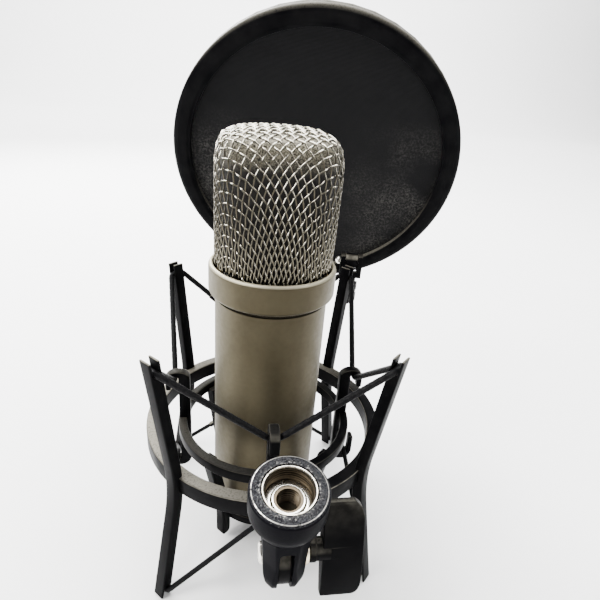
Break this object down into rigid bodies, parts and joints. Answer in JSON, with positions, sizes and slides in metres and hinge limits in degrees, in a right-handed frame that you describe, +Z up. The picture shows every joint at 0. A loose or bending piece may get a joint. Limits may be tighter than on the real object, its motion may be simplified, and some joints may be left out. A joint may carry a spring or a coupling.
{
  "type": "condenser microphone",
  "caption": "Side-address condenser microphone with a woven grille head, hung by elastic cords in a ring shock mount with a swivelling stand socket, tension knob and round pop shield.",
  "frame": {"origin": "middle of the footprint of the whole assembly, on the surface that the mount's posts stand on", "axes": "+Z up along the microphone, -Y towards the stand adapter, +Y towards the pop shield, X across"},
  "size_m": [0.158, 0.1948, 0.2467],
  "materials": {
    "body_metal": "satin",
    "grille_wire": "satin",
    "inner_metal": "satin",
    "brass": "satin",
    "gold_film": "polished",
    "circuit_board": "satin",
    "rubber": "matte",
    "silver": "satin",
    "black_plastic": "satin",
    "black_paint": "satin",
    "insulator": "matte",
    "elastic_cord": "matte",
    "shield_fabric": "matte"
  },
  "bodies": {
    "mount_frame": {"outer_ring": "black_plastic", "post_back_right": "black_plastic", "post_back_left": "black_plastic", "post_front_left": "black_plastic", "post_front_right": "black_plastic", "upper_elastic": "elastic_cord", "upper_ferrule": "silver", "lower_elastic": "elastic_cord", "lower_ferrule": "silver", "shield_bracket": "black_plastic", "bracket_screw": "silver"},
    "cradle": {"cradle_ring": "black_plastic", "hook_right": "black_plastic", "hook_rear": "black_plastic", "hook_left": "black_plastic", "hook_front": "black_plastic", "leg_back_right": "black_plastic", "leg_back_left": "black_plastic", "leg_front_left": "black_plastic", "leg_front_right": "black_plastic", "cradle_base": "black_plastic"},
    "microphone": {"body_tube": "body_metal", "base_plate": "body_metal", "collar_ring": "body_metal", "grille_outer_mesh": "grille_wire", "grille_inner_mesh": "grille_wire", "grille_base_ring": "brass", "capsule_platform": "inner_metal", "chassis_rail_left": "inner_metal", "chassis_rail_right": "inner_metal", "chassis_screw_left": "silver", "chassis_screw_right": "silver", "circuit_board": "circuit_board", "capsule_backplate": "brass", "diaphragm_front": "gold_film", "diaphragm_rear": "gold_film", "clamp_ring_front": "brass", "clamp_ring_rear": "brass", "capsule_saddle": "rubber", "xlr_shell": "silver", "xlr_insert": "insulator", "xlr_pin_1": "silver", "xlr_pin_2": "silver", "xlr_pin_3": "silver"},
    "lock_ring": {"lock_ring": "black_plastic"},
    "stand_adapter": {"stand_adapter": "black_paint", "thread_insert": "silver", "pivot_bolt": "silver", "knob_washer": "brass"},
    "thread_reducer": {"thread_reducer": "silver"},
    "tension_knob": {"tension_knob": "black_plastic"},
    "shield_arm": {"shield_arm": "black_plastic", "rim_pin": "silver"},
    "arm_screw": {"arm_screw": "silver"},
    "pop_shield": {"shield_front_ring": "black_plastic", "shield_front_mesh": "shield_fabric", "shield_rear_mesh": "shield_fabric", "shield_rear_ring": "black_plastic"}
  },
  "joints": [
    {"name": "suspension", "type": "slide", "parent": "mount_frame", "child": "cradle", "axis": [0, 0, 1], "range_m": [-0.003, 0.005], "stiffness_N_per_m": 1500, "springref_m": 0.00364, "deforming": ["upper_elastic", "lower_elastic"]},
    {"name": "microphone_turn", "type": "hinge", "parent": "cradle", "child": "microphone", "pos_m": [-0.02258, -0.00378, 0.021], "axis": [0, 0, 1], "continuous": true},
    {"name": "lock_ring_turn", "type": "hinge", "parent": "microphone", "child": "lock_ring", "pos_m": [-0.02258, -0.00378, 0.008], "axis": [0, 0, 1], "continuous": true},
    {"name": "adapter_swivel", "type": "hinge", "parent": "mount_frame", "child": "stand_adapter", "pos_m": [-0.02138, -0.07877, 0.0603], "axis": [1, 0, 0], "range_deg": [-12, 150]},
    {"name": "reducer_turn", "type": "hinge", "parent": "stand_adapter", "child": "thread_reducer", "pos_m": [-0.02138, -0.08267, 0.08702], "axis": [0, -0.1444, 0.9895], "continuous": true},
    {"name": "knob_turn", "type": "hinge", "parent": "stand_adapter", "child": "tension_knob", "pos_m": [-0.00138, -0.07877, 0.0603], "axis": [1, 0, 0], "continuous": true},
    {"name": "shield_arm_swing", "type": "hinge", "parent": "mount_frame", "child": "shield_arm", "pos_m": [0.02738, 0.05158, 0.1238], "axis": [0.982, -0.1891, 0], "range_deg": [-18, 5]},
    {"name": "arm_screw_turn", "type": "hinge", "parent": "mount_frame", "child": "arm_screw", "pos_m": [0.02738, 0.05158, 0.1238], "axis": [0.982, -0.1891, 0], "continuous": true},
    {"name": "shield_tilt", "type": "hinge", "parent": "shield_arm", "child": "pop_shield", "pos_m": [0.0327, 0.07922, 0.09734], "axis": [0.982, -0.1891, 0], "range_deg": [-70, 8]}
  ]
}
